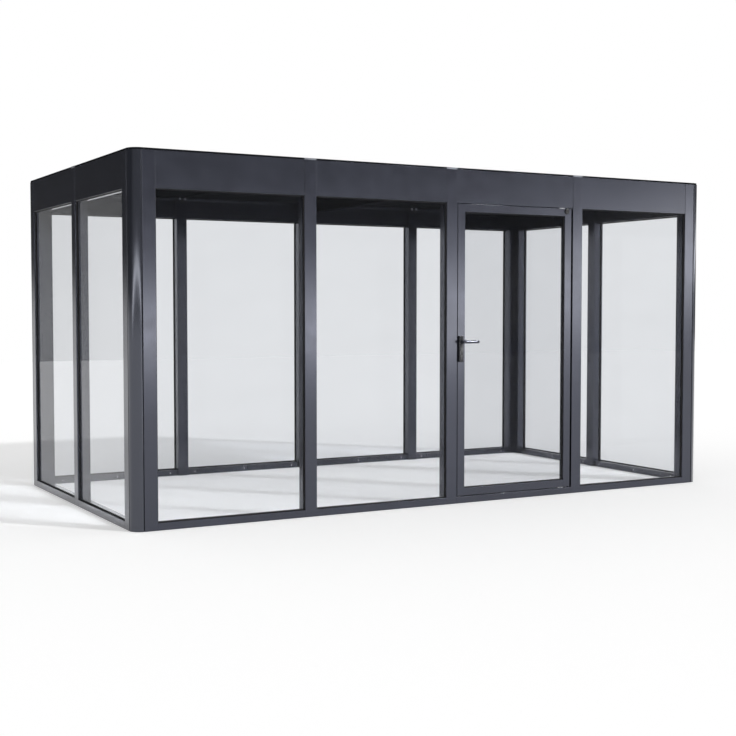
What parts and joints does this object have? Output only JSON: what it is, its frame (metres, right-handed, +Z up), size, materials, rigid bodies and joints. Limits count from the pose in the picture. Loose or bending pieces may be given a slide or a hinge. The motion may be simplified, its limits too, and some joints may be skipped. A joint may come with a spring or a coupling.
{
  "type": "flat-roofed acrylic greenhouse",
  "caption": "Rectangular flat-roofed garden greenhouse: dark aluminium frame with rounded corner posts, clear acrylic panes and a pivot-hung door with a lever handle.",
  "frame": {"origin": "On the ground, under the middle of the whole building, outer door lever included", "axes": "+Z up; the front wall with the door faces -Y; +X runs along the long walls, to the right as seen from the front"},
  "size_m": [4.34, 2.3424, 2.2],
  "materials": {
    "frame_paint": "satin",
    "cover_paint": "semi-gloss",
    "fascia_paint": "satin",
    "acrylic": "clear polished",
    "acrylic_door": "clear polished, light grey",
    "deck_sheet": "matt",
    "coping_paint": "satin",
    "cap_paint": "satin",
    "rubber_strip": "matt",
    "steel": "brushed",
    "handle_paint": "satin",
    "cylinder_metal": "brushed",
    "black_plastic": "matt"
  },
  "bodies": {
    "frame": {"corner_post_front_left": "frame_paint", "corner_post_front_right": "frame_paint", "corner_post_back_left": "frame_paint", "corner_post_back_right": "frame_paint", "corner_cover_front_left": "cover_paint", "corner_cover_front_right": "cover_paint", "corner_cover_back_left": "cover_paint", "corner_cover_back_right": "cover_paint", "front_mullion": "frame_paint", "lock_jamb": "frame_paint", "hinge_jamb": "frame_paint", "back_mullion_left": "frame_paint", "back_mullion_middle": "frame_paint", "back_mullion_right": "frame_paint", "left_mullion": "frame_paint", "right_mullion": "frame_paint", "front_fascia": "fascia_paint", "back_fascia": "fascia_paint", "left_fascia": "fascia_paint", "right_fascia": "fascia_paint", "front_base_rail": "frame_paint", "back_base_rail": "frame_paint", "left_base_rail": "frame_paint", "right_base_rail": "frame_paint", "front_panes": "acrylic", "back_panes": "acrylic", "left_panes": "acrylic", "right_panes": "acrylic", "roof_deck": "deck_sheet", "rafter": "frame_paint", "coping": "coping_paint", "mullion_caps": "cap_paint", "door_stops": "rubber_strip", "door_pivots": "steel"},
    "door": {"door_lock_stile": "frame_paint", "door_hinge_stile": "frame_paint", "door_top_rail": "frame_paint", "door_bottom_rail": "frame_paint", "door_pane": "acrylic_door", "outer_plate": "handle_paint", "inner_plate": "handle_paint", "lock_cylinder": "cylinder_metal", "pivot_cap": "black_plastic"},
    "lever": {"outer_lever": "handle_paint", "inner_lever": "handle_paint"}
  },
  "joints": [
    {"name": "door_swing", "type": "hinge", "parent": "frame", "child": "door", "pos_m": [0.95, -1.08675, 0.045], "axis": [0, 0, 1], "range_deg": [0, 100]},
    {"name": "lever_turn", "type": "hinge", "parent": "door", "child": "lever", "pos_m": [0.064, -1.08675, 1.066], "axis": [0, 1, 0], "range_deg": [0, 45], "stiffness_Nm_per_rad": 1.5, "springref_deg": -20.05}
  ]
}
